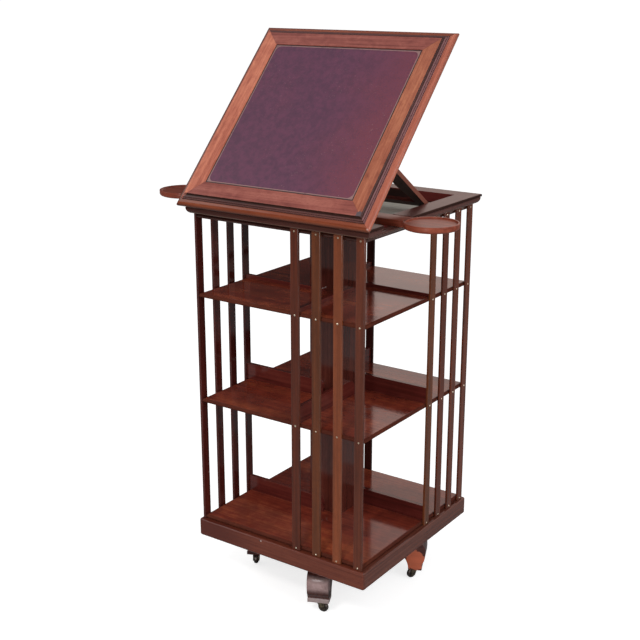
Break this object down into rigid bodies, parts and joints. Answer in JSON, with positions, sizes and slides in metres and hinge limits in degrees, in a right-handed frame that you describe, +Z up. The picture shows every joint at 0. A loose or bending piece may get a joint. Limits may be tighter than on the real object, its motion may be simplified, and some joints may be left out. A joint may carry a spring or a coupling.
{
  "type": "revolving bookcase",
  "caption": "Square revolving bookcase on castors: open slatted tiers round a column, a leather reading slope raised by a ratchet strut, and pull-out candle trays.",
  "frame": {"origin": "on the floor, on the spindle axis the case turns about", "axes": "+Z up along the spindle; -Y is the front face, along which the slope is hinged; +X is right"},
  "size_m": [0.803, 0.511, 1.327],
  "materials": {
    "case_wood": "polished mahogany",
    "slat_wood": "polished mahogany",
    "slope_wood": "polished mahogany",
    "dark_wood": "dark polished mahogany",
    "leather": "worn hide",
    "brass": "aged",
    "steel": "turned",
    "castor_iron": "worn"
  },
  "bodies": {
    "base": {"base_beam_front_back": "dark_wood", "base_beam_left_right": "dark_wood", "spindle": "steel"},
    "case": {"plinth": "case_wood", "spindle_bush": "brass", "column": "dark_wood", "top_frame": "case_wood", "ratchet_strip_left": "dark_wood", "ratchet_strip_right": "dark_wood", "hinge_case_leaf_left": "brass", "hinge_case_leaf_right": "brass", "bottom_board": "case_wood", "middle_board": "case_wood", "upper_board": "case_wood", "top_board": "case_wood", "slat_a_1": "slat_wood", "slat_a_2": "slat_wood", "slat_a_3": "slat_wood", "slat_a_4": "slat_wood", "slat_b_1": "slat_wood", "slat_b_2": "slat_wood", "slat_b_3": "slat_wood", "slat_b_4": "slat_wood", "slat_c_1": "slat_wood", "slat_c_2": "slat_wood", "slat_c_3": "slat_wood", "slat_c_4": "slat_wood", "slat_d_1": "slat_wood", "slat_d_2": "slat_wood", "slat_d_3": "slat_wood", "slat_d_4": "slat_wood", "rail_bottom_a": "case_wood", "rail_bottom_c": "case_wood", "rail_middle_a": "case_wood", "rail_middle_b": "case_wood", "rail_middle_c": "case_wood", "rail_middle_d": "case_wood", "rail_upper_a": "case_wood", "rail_upper_b": "case_wood", "rail_upper_c": "case_wood", "rail_upper_d": "case_wood"},
    "slope": {"slope_frame": "slope_wood", "slope_panel": "case_wood", "slope_leather": "leather", "hinge_slope_leaf_left": "brass", "hinge_slope_leaf_right": "brass", "strut_lug_left": "case_wood", "strut_lug_right": "case_wood"},
    "strut_frame": {"strut": "case_wood"},
    "left_candle_slide": {"candle_slide_left": "case_wood"},
    "right_candle_slide": {"candle_slide_right": "case_wood"},
    "castor_1": {"castor_fork_1": "brass"},
    "castor_roller_1": {"castor_wheel_1": "castor_iron"},
    "castor_2": {"castor_fork_2": "brass"},
    "castor_roller_2": {"castor_wheel_2": "castor_iron"},
    "castor_3": {"castor_fork_3": "brass"},
    "castor_roller_3": {"castor_wheel_3": "castor_iron"},
    "castor_4": {"castor_fork_4": "brass"},
    "castor_roller_4": {"castor_wheel_4": "castor_iron"}
  },
  "joints": [
    {"name": "case_revolve", "type": "hinge", "parent": "base", "child": "case", "pos_m": [0, 0, 0.2], "axis": [0, 0, 1], "continuous": true},
    {"name": "slope_tilt", "type": "hinge", "parent": "case", "child": "slope", "pos_m": [0, -0.2485, 0.9535], "axis": [1, 0, 0], "range_deg": [-46.7, 1.5]},
    {"name": "strut_fold", "type": "hinge", "parent": "slope", "child": "strut_frame", "pos_m": [0, -0.11229, 1.08346], "axis": [1, 0, 0], "range_deg": [-2.7, 81.8]},
    {"name": "right_candle_pull", "type": "slide", "parent": "case", "child": "right_candle_slide", "axis": [1, 0, 0], "range_m": [0, 0.08]},
    {"name": "left_candle_pull", "type": "slide", "parent": "case", "child": "left_candle_slide", "axis": [-1, 0, 0], "range_m": [-0.065, 0.015]},
    {"name": "castor_swivel_1", "type": "hinge", "parent": "base", "child": "castor_1", "pos_m": [0.18636, 0.08297, 0.028], "axis": [0, 0, 1], "continuous": true},
    {"name": "castor_roll_1", "type": "hinge", "parent": "castor_1", "child": "castor_roller_1", "pos_m": [0.18214, 0.07391, 0.0125], "axis": [0.9063, -0.4226, 0], "continuous": true},
    {"name": "castor_swivel_2", "type": "hinge", "parent": "base", "child": "castor_2", "pos_m": [-0.08297, 0.18636, 0.028], "axis": [0, 0, 1], "continuous": true},
    {"name": "castor_roll_2", "type": "hinge", "parent": "castor_2", "child": "castor_roller_2", "pos_m": [-0.07531, 0.19279, 0.0125], "axis": [-0.6428, 0.766, 0], "continuous": true},
    {"name": "castor_swivel_3", "type": "hinge", "parent": "base", "child": "castor_3", "pos_m": [-0.18636, -0.08297, 0.028], "axis": [0, 0, 1], "continuous": true},
    {"name": "castor_roll_3", "type": "hinge", "parent": "castor_3", "child": "castor_roller_3", "pos_m": [-0.18136, -0.09163, 0.0125], "axis": [0.866, 0.5, 0], "continuous": true},
    {"name": "castor_swivel_4", "type": "hinge", "parent": "base", "child": "castor_4", "pos_m": [0.08297, -0.18636, 0.028], "axis": [0, 0, 1], "continuous": true},
    {"name": "castor_roll_4", "type": "hinge", "parent": "castor_4", "child": "castor_roller_4", "pos_m": [0.09282, -0.18463, 0.0125], "axis": [-0.1736, 0.9848, 0], "continuous": true}
  ],
  "couplings": [
    {"joint": "strut_fold", "follows": "slope_tilt", "ratio": -1.7497}
  ]
}
